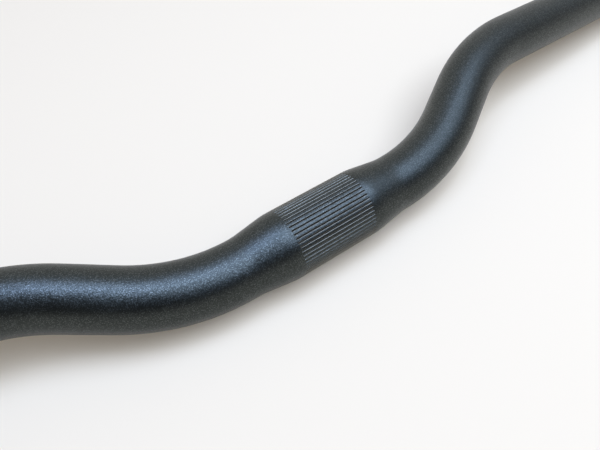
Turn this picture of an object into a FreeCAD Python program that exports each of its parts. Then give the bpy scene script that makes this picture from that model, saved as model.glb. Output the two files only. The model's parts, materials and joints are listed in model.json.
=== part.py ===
"""Riser handlebar: one bent tube with a swaged, knurled middle, lying as it comes to rest on a floor.

The origin is the middle of the stem clamp. X runs along the clamp, Y points to the side that the bar rises
to, and Z is up. The bar rests on the clamp's underside and on the rims of its two cut ends.
"""
import FreeCAD
import Part

import math
import os

# Tube, in millimetres
clamp_diameter = 26.0
grip_diameter = 22.2
wall = 2.2
overall_width = 600.0
end_chamfer = 0.4

# Middle of the bar: a cylinder, and on each side a cone blended into it and into the bent tube
clamp_length = 33.0
taper_length = 17.0
taper_blend_radius = 26.0
largest_blend = 0.9  # share of the radius at which the two blends would meet and leave no cone

# Rise and sweep: lengths in millimetres, angles in degrees
bend_radius = 76.0
riser_length = 17.0
riser_angle = 32.0
upsweep = 1.2
backsweep = 5.0

# Straight knurl that keeps the bar from turning in the stem
knurl_length = 31.0
groove_count = 52
groove_width = 0.5
groove_depth = 0.35

ORIGIN = FreeCAD.Vector(0, 0, 0)
ALONG = FreeCAD.Vector(1, 0, 0)
RISE = FreeCAD.Vector(0, 1, 0)
BACK = FreeCAD.Vector(0, 0, -1)

clamp_radius = clamp_diameter / 2
grip_radius = grip_diameter / 2
half_clamp = clamp_length / 2
half_middle = half_clamp + taper_length
drop = clamp_radius - grip_radius


def direction(upward, backward):
    """Unit vector of the right arm that climbs by one angle and sweeps back by another, both in degrees."""
    climb = math.radians(upward)
    sweep = math.radians(backward)
    level = ALONG * math.cos(climb) + RISE * math.sin(climb)
    return level * math.cos(sweep) + BACK * math.sin(sweep)


riser_direction = direction(riser_angle, 0)
grip_direction = direction(upsweep, backsweep)


def inward(before, after):
    """Unit vector square to the first direction that points to the middle of the bend into the second."""
    across = after - before * before.dot(after)
    return across.normalize()


def bend_end(start, before, after):
    """Point where a bend that turns the centre line from one direction to another lets go of it."""
    pivot = start + inward(before, after) * bend_radius
    return pivot + inward(after, before) * bend_radius


# Centre line of the right arm
first_bend_start = ALONG * half_middle
riser_start = bend_end(first_bend_start, ALONG, riser_direction)
second_bend_start = riser_start + riser_direction * riser_length
grip_start = bend_end(second_bend_start, riser_direction, grip_direction)
grip_length = (overall_width / 2 - grip_start.x) / grip_direction.x
grip_end = grip_start + grip_direction * grip_length


def taper_edges(inset):
    """Right taper in the XY plane: an arc off the clamp, a cone and an arc onto the tube, all tangent."""
    blend = min(taper_blend_radius, largest_blend * (taper_length ** 2 + drop ** 2) / (4 * drop))
    cone = math.sqrt(taper_length ** 2 + drop ** 2 - 4 * blend * drop)
    slope = 2 * math.atan2(drop, taper_length + cone)
    shoulder = []
    foot = []
    for angle in (0, slope / 2, slope):
        along = blend * math.sin(angle)
        inwards = blend - blend * math.cos(angle)
        shoulder.append(FreeCAD.Vector(half_clamp + along, clamp_radius - inset - inwards, 0))
        foot.append(FreeCAD.Vector(half_middle - along, grip_radius - inset + inwards, 0))
    return [
        Part.Arc(*shoulder).toShape(),
        Part.makeLine(shoulder[-1], foot[-1]),
        Part.Arc(*foot).toShape(),
    ]


def middle(inset):
    """Clamp and both tapers, revolved about X, with the surface moved in by the inset."""
    right = taper_edges(inset)
    left = [edge.mirror(ORIGIN, ALONG) for edge in right]
    clamp_right = FreeCAD.Vector(half_clamp, clamp_radius - inset, 0)
    clamp_left = FreeCAD.Vector(-half_clamp, clamp_radius - inset, 0)
    tube_right = FreeCAD.Vector(half_middle, grip_radius - inset, 0)
    tube_left = FreeCAD.Vector(-half_middle, grip_radius - inset, 0)
    core = Part.makePolygon([tube_right, ALONG * half_middle, ALONG * -half_middle, tube_left])
    outline = [Part.makeLine(clamp_left, clamp_right)] + left + right + core.Edges
    section = Part.Face(Part.Wire(Part.sortEdges(outline)[0]))
    return section.revolve(ORIGIN, ALONG, 360)


def bend(radius, start, before, after):
    """Round bar of one radius, turned about the middle of a bend."""
    disc = Part.Face(Part.Wire(Part.makeCircle(radius, start, before)))
    pivot = start + inward(before, after) * bend_radius
    turn = math.degrees(before.getAngle(after))
    return disc.revolve(pivot, before.cross(after), turn)


def right_arm(radius):
    """Bend, riser, bend and grip of the right side, as round bars of one radius laid end to end."""
    return [
        bend(radius, first_bend_start, ALONG, riser_direction),
        Part.makeCylinder(radius, riser_length, riser_start, riser_direction),
        bend(radius, second_bend_start, riser_direction, grip_direction),
        Part.makeCylinder(radius, grip_length, grip_start, grip_direction),
    ]


def bar(inset):
    """Whole bar as one solid, its surface moved in by the inset."""
    right = right_arm(grip_radius - inset)
    left = [piece.mirror(ORIGIN, ALONG) for piece in right]
    return middle(inset).fuse(right + left).removeSplitter()


def end_rims(tube):
    """Outer and inner circles of the two cut ends."""
    rims = []
    for edge in tube.Edges:
        if isinstance(edge.Curve, Part.Circle):
            centre = edge.Curve.Center
            if FreeCAD.Vector(abs(centre.x), centre.y, centre.z).isEqual(grip_end, end_chamfer):
                rims.append(edge)
    return rims


def knurl():
    """V-shaped cutters along the clamp, set evenly round it, each tall enough to clear the round surface.

    A land between two grooves lies square to the rise.
    """
    corners = [
        FreeCAD.Vector(-knurl_length / 2, 0, clamp_radius - groove_depth),
        FreeCAD.Vector(-knurl_length / 2, groove_width, clamp_radius + groove_depth),
        FreeCAD.Vector(-knurl_length / 2, -groove_width, clamp_radius + groove_depth),
    ]
    section = Part.Face(Part.makePolygon(corners + corners[:1]))
    cutter = section.extrude(ALONG * knurl_length)
    cutters = []
    for index in range(groove_count):
        turned = cutter.copy()
        turned.rotate(ORIGIN, ALONG, (index + 0.5) * 360 / groove_count)
        cutters.append(turned)
    return Part.makeCompound(cutters)


def rim_height(tilt):
    """Height of a cut end's lowest point over the clamp's underside, at a tilt about X in radians."""
    contact = grip_end - grip_direction * end_chamfer
    height = contact.y * math.sin(tilt) + contact.z * math.cos(tilt)
    slope = grip_direction.y * math.sin(tilt) + grip_direction.z * math.cos(tilt)
    return height - grip_radius * math.sqrt(1 - slope ** 2) + clamp_radius


def rest_tilt():
    """Tilt in degrees at which the clamp and both cut ends touch the floor, found by halving."""
    low = 0.0
    high = math.pi / 2
    for _ in range(50):
        tilt = (low + high) / 2
        if rim_height(tilt) < 0:
            low = tilt
        else:
            high = tilt
    return math.degrees(tilt)


tube = bar(0).cut(bar(wall))
tube = tube.makeChamfer(end_chamfer, end_rims(tube))
handlebar = tube.cut(knurl())
handlebar.rotate(ORIGIN, ALONG, rest_tilt())

os.makedirs("parts", exist_ok=True)
handlebar.exportStep("parts/handlebar.step")
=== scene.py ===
"""Riser handlebar: the looks of a bent, swaged and knurled tube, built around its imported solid.

Sizes are named in millimetres, and meshes are made in metres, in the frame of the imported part.
"""
import json
import math

import bpy
import numpy as np
from mathutils import Euler, Matrix, Vector


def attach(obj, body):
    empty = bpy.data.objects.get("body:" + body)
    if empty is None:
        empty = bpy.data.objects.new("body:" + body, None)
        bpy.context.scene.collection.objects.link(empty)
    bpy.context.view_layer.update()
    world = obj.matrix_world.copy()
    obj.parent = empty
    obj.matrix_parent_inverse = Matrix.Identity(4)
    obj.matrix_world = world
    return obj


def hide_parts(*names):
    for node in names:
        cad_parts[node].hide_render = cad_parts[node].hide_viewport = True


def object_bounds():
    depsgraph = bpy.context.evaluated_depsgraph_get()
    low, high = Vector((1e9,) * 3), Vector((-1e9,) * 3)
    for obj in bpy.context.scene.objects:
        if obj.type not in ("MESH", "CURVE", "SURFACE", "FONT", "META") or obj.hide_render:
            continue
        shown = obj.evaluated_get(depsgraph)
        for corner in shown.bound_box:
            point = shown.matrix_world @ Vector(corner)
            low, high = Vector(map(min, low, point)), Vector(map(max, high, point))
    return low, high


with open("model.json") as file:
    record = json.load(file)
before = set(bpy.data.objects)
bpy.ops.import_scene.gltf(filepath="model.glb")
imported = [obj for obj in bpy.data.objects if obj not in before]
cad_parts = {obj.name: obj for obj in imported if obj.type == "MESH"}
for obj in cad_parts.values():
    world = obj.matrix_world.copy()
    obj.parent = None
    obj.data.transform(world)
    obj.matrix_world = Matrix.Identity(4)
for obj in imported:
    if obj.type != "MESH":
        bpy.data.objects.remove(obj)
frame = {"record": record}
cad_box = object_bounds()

# Metres in a millimetre
MM = 0.001

mounts = {mount["name"]: mount for mount in frame["record"]["mounts"]}

# Sizes of the tube that its mounts give
clamp_radius = mounts["stem_clamp"]["dims"]["r_mm"]
half_clamp = mounts["stem_clamp"]["dims"]["length_mm"] / 2
grip_radius = mounts["right_grip"]["dims"]["r_mm"]
grip_wall = mounts["right_grip"]["dims"]["length_mm"]
grip_heading = np.array(mounts["right_grip"]["axis"])

# Other sizes of the tube, in millimetres and degrees
wall = 2.2
end_chamfer = 0.4
taper_length = 17.0
taper_blend_radius = 26.0
bend_radius = 76.0
riser_length = 17.0
riser_angle = 32.0
upsweep = 1.2
backsweep = 5.0
knurl_length = 31.0
groove_count = 52
groove_width = 0.5
groove_depth = 0.35

# Softness that blasting leaves on the edges, in millimetres
edge_break = 0.06
lip_softness = 0.08
groove_end = 0.08

# Spacing of the mesh's rows along the outside and through the bore, in millimetres
knurl_step = 3.9
taper_step = 1.3
bend_step = 2.6
riser_step = 7.0
grip_step = 14.0
bore_middle_step = 4.5
bore_bend_step = 9.0
bore_grip_step = 28.0

# The mesh's columns across a groove: shares of half its width from its bottom, and how far each is painted
# paler, as wear and as a painted highlight
column_shares = (-1.5, -1.05, -0.65, 0.0, 0.65, 1.05, 1.5)
column_wear_and_highlight = (0.0, 1.0, 0.0, 0.0, 0.0, 1.0, 0.0)

# Edges that turn more than this, in degrees, are shaded as sharp
sharp_angle = 42.0


def unit(vector):
    """The vector divided by its length."""
    return vector / np.linalg.norm(vector)


def turned(vectors, axis, angles):
    """Rows of vectors turned about an axis: v cos a + (axis x v) sin a + axis (axis . v)(1 - cos a)."""
    cosine = np.cos(angles)[:, None]
    sine = np.sin(angles)[:, None]
    along_axis = (vectors @ axis)[:, None] * axis
    return vectors * cosine + np.cross(axis, vectors) * sine + along_axis * (1 - cosine)


# Directions of the tube in the frame. The grips' packed axis shows how far the bar is tipped about X
climb = math.radians(upsweep)
sweep = math.radians(backsweep)
first_turn = math.radians(riser_angle)
untipped = math.atan2(-math.sin(sweep), math.sin(climb) * math.cos(sweep))
tilt = math.atan2(grip_heading[2], grip_heading[1]) - untipped
ALONG = np.array([1.0, 0.0, 0.0])
RISE = np.array([0.0, math.cos(tilt), math.sin(tilt)])
ACROSS = np.cross(ALONG, RISE)
riser_heading = ALONG * math.cos(first_turn) + RISE * math.sin(first_turn)
second_turn = math.acos(riser_heading @ grip_heading)

# Distances along the centre line, from the middle, at which its straights and bends end
half_middle = half_clamp + taper_length
first_bend_end = half_middle + bend_radius * first_turn
riser_end = first_bend_end + riser_length
second_bend_end = riser_end + bend_radius * second_turn
half_length = second_bend_end + grip_wall + end_chamfer


def bend_shift(angles, before, after):
    """Way along a bend: radius times (sin a along the first heading + (1 - cos a) towards its middle)."""
    inward = unit(after - before * (before @ after))
    return bend_radius * (np.sin(angles)[:, None] * before + (1 - np.cos(angles))[:, None] * inward)


def centre_line(along):
    """Points and the two section axes at signed distances from the middle.

    A point is the sum of what each straight and bend adds up to its distance. The section axes start as
    the rise and the direction across it, and turn with the bends. The left side mirrors the right in X.
    """
    distance = np.abs(along)
    side = np.sign(along)[:, None] * ALONG + (1 - ALONG)
    first = np.clip(distance - half_middle, 0, first_bend_end - half_middle) / bend_radius
    second = np.clip(distance - riser_end, 0, second_bend_end - riser_end) / bend_radius
    points = np.minimum(distance, half_middle)[:, None] * ALONG
    points = points + bend_shift(first, ALONG, riser_heading)
    points = points + np.clip(distance - first_bend_end, 0, riser_length)[:, None] * riser_heading
    points = points + bend_shift(second, riser_heading, grip_heading)
    points = points + np.maximum(distance - second_bend_end, 0)[:, None] * grip_heading
    second_axis = unit(np.cross(riser_heading, grip_heading))
    axes = []
    for axis in (RISE, ACROSS):
        start = np.broadcast_to(axis, points.shape)
        axes.append(turned(turned(start, ACROSS, first), second_axis, second) * side)
    return points * side, axes[0], axes[1]


def outer_radius(along):
    """Clamp radius, then down the taper by an arc, a cone and an arc, all tangent, then grip radius."""
    drop = clamp_radius - grip_radius
    blend = taper_blend_radius
    cone = math.sqrt(taper_length ** 2 + drop ** 2 - 4 * blend * drop)
    slope = 2 * math.atan2(drop, taper_length + cone)
    down = np.clip(np.abs(along) - half_clamp, 0, taper_length)
    reach = blend * math.sin(slope)
    shoulder = clamp_radius - blend + np.sqrt(blend ** 2 - np.minimum(down, reach) ** 2)
    cone_fall = np.clip(down - reach, 0, taper_length - 2 * reach) * math.tan(slope)
    foot = np.sqrt(blend ** 2 - np.minimum(taper_length - down, reach) ** 2) - blend * math.cos(slope)
    return shoulder - cone_fall - foot


def groove_columns():
    """Angles round the tube of the mesh's columns, each one's angle from its groove, and its paler lip
    paint.

    A pitch has a column at the groove's bottom, three over each lip and one in the middle of the land.
    The tops of the lips are painted paler, partly as rubbed metal and partly as a painted highlight. A land
    lies square to the rise, as on the solid.
    """
    pitch = 2 * math.pi / groove_count
    lip = groove_width / 2 / clamp_radius
    steps = np.append(np.array(column_shares) * lip, pitch / 2)
    wear_and_highlight = np.append(column_wear_and_highlight, 0.0)
    centres = math.pi / 2 + (np.arange(groove_count) + 0.5) * pitch
    angles = (centres[:, None] + steps).ravel()
    return angles, np.tile(steps, groove_count), np.tile(wear_and_highlight, groove_count)


def groove_sink(offset):
    """Depth of the V groove at an angle from its bottom, with lips rounded by a smooth maximum with 0."""
    rise = 2 * groove_depth / groove_width
    floor_radius = (clamp_radius - groove_depth) / (np.cos(offset) - rise * np.abs(np.sin(offset)))
    gap = clamp_radius - floor_radius
    return (gap + np.sqrt(gap ** 2 + lip_softness ** 2)) / 2


def spaced(start, end, step):
    """Even distances after the start, up to the end, no further apart than the step."""
    count = math.ceil((end - start) / step)
    return np.linspace(start, end, count + 1)[1:]


def rim_rows():
    """Right rim's rows: distances along the centre line and radii, from the outside round to the bore.

    The four corners of the chamfered wall are each cut by a small flat with a guard row on both sides.
    """
    bore = grip_radius - wall
    corners = np.array([
        [half_length - end_chamfer, grip_radius],
        [half_length, grip_radius - end_chamfer],
        [half_length, bore + end_chamfer],
        [half_length - end_chamfer, bore],
    ])
    stops = np.vstack([[second_bend_end, grip_radius], corners, [second_bend_end, bore]])
    legs = np.diff(stops, axis=0)
    legs = legs / np.linalg.norm(legs, axis=1)[:, None]
    cuts = np.array([1.0, 2.0])[:, None] * edge_break
    before = corners[:, None] - legs[:-1, None] * cuts[::-1]
    after = corners[:, None] + legs[1:, None] * cuts
    return np.concatenate([before, after], axis=1).reshape(-1, 2)


def tube_grid():
    """Points of the whole tube, and how far each is painted paler as wear and highlight, on a grid of rows
    along it and columns round it.

    A point is the centre line's plus its radius times (cos a of the rise axis + sin a of the axis across).
    Rows run along the outside from left to right, round the right rim, back through the bore and round the
    left rim. The knurl sinks into the rows of the clamp.
    """
    rim = rim_rows()
    outside = np.concatenate([
        spaced(0, knurl_length / 2, knurl_step),
        [knurl_length / 2 + groove_end],
        spaced(half_clamp, half_middle, taper_step),
        spaced(half_middle, first_bend_end, bend_step),
        spaced(first_bend_end, riser_end, riser_step),
        spaced(riser_end, second_bend_end, bend_step),
        spaced(second_bend_end, half_length - grip_step, grip_step),
    ])
    bore = np.concatenate([
        spaced(0, half_middle, bore_middle_step),
        spaced(half_middle, second_bend_end, bore_bend_step),
        spaced(second_bend_end, half_length - grip_step, bore_grip_step),
    ])
    along = np.concatenate([-outside[::-1], outside, rim[:, 0], bore[::-1], -bore, -rim[::-1, 0]])
    outside_radius = outer_radius(outside)
    bore_radius = outer_radius(bore) - wall
    radius = np.concatenate([
        outside_radius[::-1], outside_radius, rim[:, 1], bore_radius[::-1], bore_radius, rim[::-1, 1],
    ])
    angles, offsets, wear_and_highlight = groove_columns()
    on_outside = np.arange(len(along)) < 2 * len(outside)
    knurled = (on_outside & (np.abs(along) <= knurl_length / 2))[:, None]
    radii = radius[:, None] - knurled * groove_sink(offsets)
    points, rise_axis, across_axis = centre_line(along)
    ring = np.cos(angles)[:, None] * rise_axis[:, None] + np.sin(angles)[:, None] * across_axis[:, None]
    return points[:, None] + radii[:, :, None] * ring, knurled * wear_and_highlight


def new_object(name, data):
    """Object in the scene, at the origin, that holds a mesh, a lamp or a camera."""
    holder = bpy.data.objects.new(name, data)
    bpy.context.scene.collection.objects.link(holder)
    return holder


def closed_grid_mesh(name, points):
    """Mesh of a grid of points that closes on itself both ways, smooth but for its sharp edges."""
    rows, columns = points.shape[:2]
    here = np.arange(rows * columns).reshape(rows, columns)
    ahead = np.roll(here, -1, axis=0)
    quads = np.stack([here, np.roll(here, -1, axis=1), np.roll(ahead, -1, axis=1), ahead], axis=2)
    mesh = bpy.data.meshes.new(name)
    mesh.from_pydata((points.reshape(-1, 3) * MM).tolist(), [], quads.reshape(-1, 4).tolist())
    mesh.shade_smooth()
    mesh.set_sharp_from_angle(angle=math.radians(sharp_angle))
    mesh.update()
    return mesh


def linear(hex_colour):
    """sRGB hex colour as linear red, green, blue and alpha: a straight foot, then a power curve."""
    values = np.array([int(hex_colour[i:i + 2], 16) for i in (1, 3, 5)]) / 255
    low = values / 12.92
    high = ((values + 0.055) / 1.055) ** 2.4
    return (*np.where(values <= 0.04045, low, high).tolist(), 1.0)


# Sockets of the Mix node, by number, because its kinds of mix share their names
VALUE_A = 2
VALUE_B = 3
COLOUR_A = 6
COLOUR_B = 7
VALUE_OUT = 0
COLOUR_OUT = 2


def add_node(tree, kind, settings=None, links=None):
    """Adds a node, sets its properties and inputs, by name or number, and links inputs to other sockets."""
    node = tree.nodes.new(kind)
    for key, value in (settings or {}).items():
        if isinstance(key, int) or key in node.inputs:
            node.inputs[key].default_value = value
        else:
            setattr(node, key, value)
    for key, socket in (links or {}).items():
        tree.links.new(socket, node.inputs[key])
    return node


def new_material(name):
    """Empty node material and its tree."""
    material = bpy.data.materials.new(name)
    material.use_nodes = True
    material.node_tree.nodes.clear()
    return material, material.node_tree


def blasted_anodised_aluminium():
    """Aluminium, bead blasted and dyed black in the anodising bath.

    The blasted skin scatters a soft, wide sheen. Its dimples lean at random, and each has a random tone,
    palest in the middle of its bowl, which is partly grain and partly painted glints; they break the sheen
    up into sparkling grain, and the rest is near black. They are about a tenth of a millimetre wide and are
    drawn coarser so that they show. The lips of the grooves are painted paler, partly as rubbed bare metal
    and partly as a painted highlight along them.
    """
    dimple_mm = 0.28
    dimple_depth_mm = 0.04
    dimple_relief = 0.5
    dimple_lean = 0.09
    bowl_start = 0.2
    bowl_end = 0.75
    sparkle_power = 2.0
    cloud_mm = 14.0
    cloud_detail = 3.0
    smoothest = 0.33
    roughest = 0.45
    # Dark tone of the metal, a paler tone for grain and painted glints, and a paler lip colour for wear and
    # a painted highlight
    full_dye = linear("#383b39")
    grain_and_glint_tone = linear("#646866")
    lip_wear_and_highlight = linear("#756f63")
    material, tree = new_material("Black_Anodised_Blasted_Aluminium")
    place = add_node(tree, "ShaderNodeTexCoord").outputs["Object"]
    dimples = add_node(tree, "ShaderNodeTexVoronoi", {"Scale": 1 / (dimple_mm * MM)}, {"Vector": place})
    # Random tone for each dimple, palest in the middle of its bowl: partly grain, partly painted glints
    chance = add_node(tree, "ShaderNodeSeparateColor", None, {"Color": dimples.outputs["Color"]})
    paleness = add_node(
        tree, "ShaderNodeMath",
        {"operation": "POWER", 1: sparkle_power},
        {0: chance.outputs["Red"]},
    )
    bowl = add_node(
        tree, "ShaderNodeMapRange",
        {
            "interpolation_type": "SMOOTHSTEP",
            "From Min": bowl_start, "From Max": bowl_end, "To Min": 1.0, "To Max": 0.0,
        },
        {"Value": dimples.outputs["Distance"]},
    )
    sparkle = add_node(
        tree, "ShaderNodeMath",
        {"operation": "MULTIPLY"},
        {0: paleness.outputs[0], 1: bowl.outputs["Result"]},
    )
    grain = add_node(
        tree, "ShaderNodeMix",
        {"data_type": "RGBA", COLOUR_A: full_dye, COLOUR_B: grain_and_glint_tone},
        {"Factor": sparkle.outputs[0]},
    )
    # Painted highlight and wear: the lips of the grooves are mixed towards a paler colour
    wear_and_highlight = add_node(tree, "ShaderNodeAttribute", {"attribute_name": "wear_and_highlight"}).outputs["Fac"]
    tone = add_node(
        tree, "ShaderNodeMix",
        {"data_type": "RGBA", COLOUR_B: lip_wear_and_highlight},
        {"Factor": wear_and_highlight, COLOUR_A: grain.outputs[COLOUR_OUT]},
    )
    # Sheen: slight clouds of smoother and rougher skin
    cloud = add_node(
        tree, "ShaderNodeTexNoise",
        {"Scale": 1 / (cloud_mm * MM), "Detail": cloud_detail},
        {"Vector": place},
    )
    gloss = add_node(
        tree, "ShaderNodeMapRange",
        {"To Min": smoothest, "To Max": roughest},
        {"Value": cloud.outputs["Fac"]},
    )
    # Relief: round dimples, each with a lean of its own
    bump = add_node(
        tree, "ShaderNodeBump",
        {"Strength": dimple_relief, "Distance": dimple_depth_mm * MM},
        {"Height": dimples.outputs["Distance"]},
    )
    lean = add_node(
        tree, "ShaderNodeVectorMath",
        {"operation": "MULTIPLY_ADD", 1: [dimple_lean] * 3, 2: [-dimple_lean / 2] * 3},
        {0: dimples.outputs["Color"]},
    )
    leaning = add_node(
        tree, "ShaderNodeVectorMath",
        {"operation": "ADD"},
        {0: bump.outputs["Normal"], 1: lean.outputs["Vector"]},
    )
    facet = add_node(
        tree, "ShaderNodeVectorMath",
        {"operation": "NORMALIZE"},
        {0: leaning.outputs["Vector"]},
    )
    shader = add_node(
        tree, "ShaderNodeBsdfPrincipled",
        {"Metallic": 1.0},
        {
            "Base Color": tone.outputs[COLOUR_OUT],
            "Roughness": gloss.outputs["Result"],
            "Normal": facet.outputs["Vector"],
        },
    )
    add_node(tree, "ShaderNodeOutputMaterial", None, {"Surface": shader.outputs["BSDF"]})
    return material


def seen_rays(tree):
    """1 for rays from the eye, from a reflection or through glass, and 0 for the rest."""
    path = add_node(tree, "ShaderNodeLightPath").outputs
    first = add_node(
        tree, "ShaderNodeMath",
        {"operation": "MAXIMUM"},
        {0: path["Is Camera Ray"], 1: path["Is Glossy Ray"]},
    )
    both = add_node(
        tree, "ShaderNodeMath",
        {"operation": "MAXIMUM"},
        {0: first.outputs[0], 1: path["Is Transmission Ray"]},
    )
    return both.outputs[0]


# Pale backdrop that the floor runs into: its colour, and how bright it looks
backdrop_colour = linear("#ffffff")
backdrop_level = 0.92


def pale_floor():
    """Matt pale floor, warm enough to look neutral under cool lamps, that turns into the backdrop far away.

    The backdrop's share rises with the distance from the bar's middle, given in metres.
    """
    near = 0.2
    far = 1.0
    near_share = 0.1
    material, tree = new_material("Matt_Pale_Floor")
    place = add_node(tree, "ShaderNodeTexCoord").outputs["Object"]
    distance = add_node(tree, "ShaderNodeVectorMath", {"operation": "LENGTH"}, {0: place})
    fade = add_node(
        tree, "ShaderNodeMapRange",
        {"interpolation_type": "SMOOTHSTEP", "From Min": near, "From Max": far, "To Min": near_share},
        {"Value": distance.outputs["Value"]},
    )
    share = add_node(
        tree, "ShaderNodeMath",
        {"operation": "MULTIPLY"},
        {0: seen_rays(tree), 1: fade.outputs["Result"]},
    )
    matt = add_node(tree, "ShaderNodeBsdfDiffuse", {"Color": linear("#eed9bb")})
    backdrop = add_node(
        tree, "ShaderNodeEmission", {"Color": backdrop_colour, "Strength": backdrop_level},
    )
    mix = add_node(
        tree, "ShaderNodeMixShader", None,
        {0: share.outputs[0], 1: matt.outputs[0], 2: backdrop.outputs[0]},
    )
    add_node(tree, "ShaderNodeOutputMaterial", None, {"Surface": mix.outputs[0]})
    return material


# The tube, in the place of its solid
tube_points, tube_wear_and_highlight = tube_grid()
tube_mesh = closed_grid_mesh("handlebar_tube", tube_points)
# Lip paint for wear and a painted highlight along the lips of the grooves
tube_mesh.attributes.new("wear_and_highlight", "FLOAT", "POINT").data.foreach_set("value", tube_wear_and_highlight.ravel())
tube_mesh.materials.append(blasted_anodised_aluminium())
handlebar = new_object("handlebar_tube", tube_mesh)
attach(handlebar, "root")
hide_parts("handlebar")

# Floor under the bar, in metres
floor_half = 6.0
floor_corners = np.array([[-1, -1, 0], [1, -1, 0], [1, 1, 0], [-1, 1, 0]]) * floor_half
floor_mesh = bpy.data.meshes.new("floor")
floor_mesh.from_pydata((floor_corners + [0, 0, cad_box[0].z]).tolist(), [], [(0, 1, 2, 3)])
floor_mesh.materials.append(pale_floor())
floor = new_object("floor", floor_mesh)


def soft_box(name, place, turn, size, colour, radiance):
    """Rectangle of light, placed and sized in metres, with an even radiance: power = pi area radiance."""
    data = bpy.data.lights.new(name, "AREA")
    data.shape = "RECTANGLE"
    data.size, data.size_y = size
    data.color = linear(colour)[:3]
    data.energy = math.pi * size[0] * size[1] * radiance
    lamp = new_object(name, data)
    lamp.location = place
    lamp.rotation_euler = turn


# Key light that faces the clamp and throws the shadow towards the viewer
key_azimuth = math.radians(123.5)
key_elevation = math.radians(80.0)
key_distance = 1.2
key_way = Vector((
    math.cos(key_elevation) * math.cos(key_azimuth),
    math.cos(key_elevation) * math.sin(key_azimuth),
    math.sin(key_elevation),
))
key_turn = key_way.to_track_quat("Z", "Y").to_euler()
soft_box("key_light", key_way * key_distance, key_turn, size=(0.56, 0.56), colour="#aecaff", radiance=8.7)

# Wide soft box that hangs level over the right arm
overhead_place = Vector((0.458, -0.357, 1.2))
overhead_turn = Euler((0, 0, math.radians(19.09)))
soft_box(
    "overhead_soft_box", overhead_place, overhead_turn, size=(0.89, 1.19), colour="#c2d9ff", radiance=7.2,
)


def studio_room():
    """Room with a pale backdrop behind the bar and low all round, and dim above that on the viewer's side.

    The backdrop's share is the larger of a smooth step along the level direction away from the viewer and
    one down to the floor. The light that the room sheds is even.
    """
    away_azimuth = math.radians(75.6)
    away = (math.cos(away_azimuth), math.sin(away_azimuth), 0.0)
    low_height = math.sin(math.radians(6))
    high_height = math.sin(math.radians(15))
    dim_level = 0.03
    shed_level = 0.35
    world = bpy.data.worlds.new("room")
    world.use_nodes = True
    tree = world.node_tree
    tree.nodes.clear()
    way = add_node(tree, "ShaderNodeTexCoord").outputs["Generated"]
    reach = add_node(tree, "ShaderNodeVectorMath", {"operation": "DOT_PRODUCT", 1: away}, {0: way})
    behind = add_node(
        tree, "ShaderNodeMapRange",
        {"interpolation_type": "SMOOTHSTEP", "From Min": -1.0},
        {"Value": reach.outputs["Value"]},
    )
    height = add_node(tree, "ShaderNodeSeparateXYZ", None, {"Vector": way})
    around = add_node(
        tree, "ShaderNodeMapRange",
        {
            "interpolation_type": "SMOOTHSTEP",
            "From Min": low_height, "From Max": high_height, "To Min": 1.0, "To Max": 0.0,
        },
        {"Value": height.outputs["Z"]},
    )
    share = add_node(
        tree, "ShaderNodeMath",
        {"operation": "MAXIMUM"},
        {0: behind.outputs["Result"], 1: around.outputs["Result"]},
    )
    seen = add_node(
        tree, "ShaderNodeMapRange",
        {"To Min": dim_level, "To Max": backdrop_level},
        {"Value": share.outputs[0]},
    )
    strength = add_node(
        tree, "ShaderNodeMix",
        {VALUE_A: shed_level},
        {"Factor": seen_rays(tree), VALUE_B: seen.outputs["Result"]},
    )
    shader = add_node(
        tree, "ShaderNodeBackground",
        {"Color": backdrop_colour},
        {"Strength": strength.outputs[VALUE_OUT]},
    )
    add_node(tree, "ShaderNodeOutputWorld", None, {"Surface": shader.outputs[0]})
    return world


bpy.context.scene.world = studio_room()

# Camera at the photograph's viewing angle: place and sensor in millimetres, angles in degrees
camera_place = Vector((-69.53, -90.08, 149.88))
camera_heading = -33.795
camera_pitch = 52.932
camera_roll = -1.216
focal_pixels = 515.2
image_width = 600
sensor_width = 36.0
nearest_seen = 10.0
camera_data = bpy.data.cameras.new("camera")
camera_data.sensor_width = sensor_width
camera_data.lens = sensor_width * focal_pixels / image_width
camera_data.clip_start = nearest_seen * MM
camera = new_object("camera", camera_data)
camera.matrix_world = (
    Matrix.Translation(camera_place * MM)
    @ Matrix.Rotation(math.radians(camera_heading), 4, "Z")
    @ Matrix.Rotation(math.radians(90 - camera_pitch), 4, "X")
    @ Matrix.Rotation(math.radians(camera_roll), 4, "Z")
)
bpy.context.scene.camera = camera
bpy.context.scene.view_settings.view_transform = "Standard"
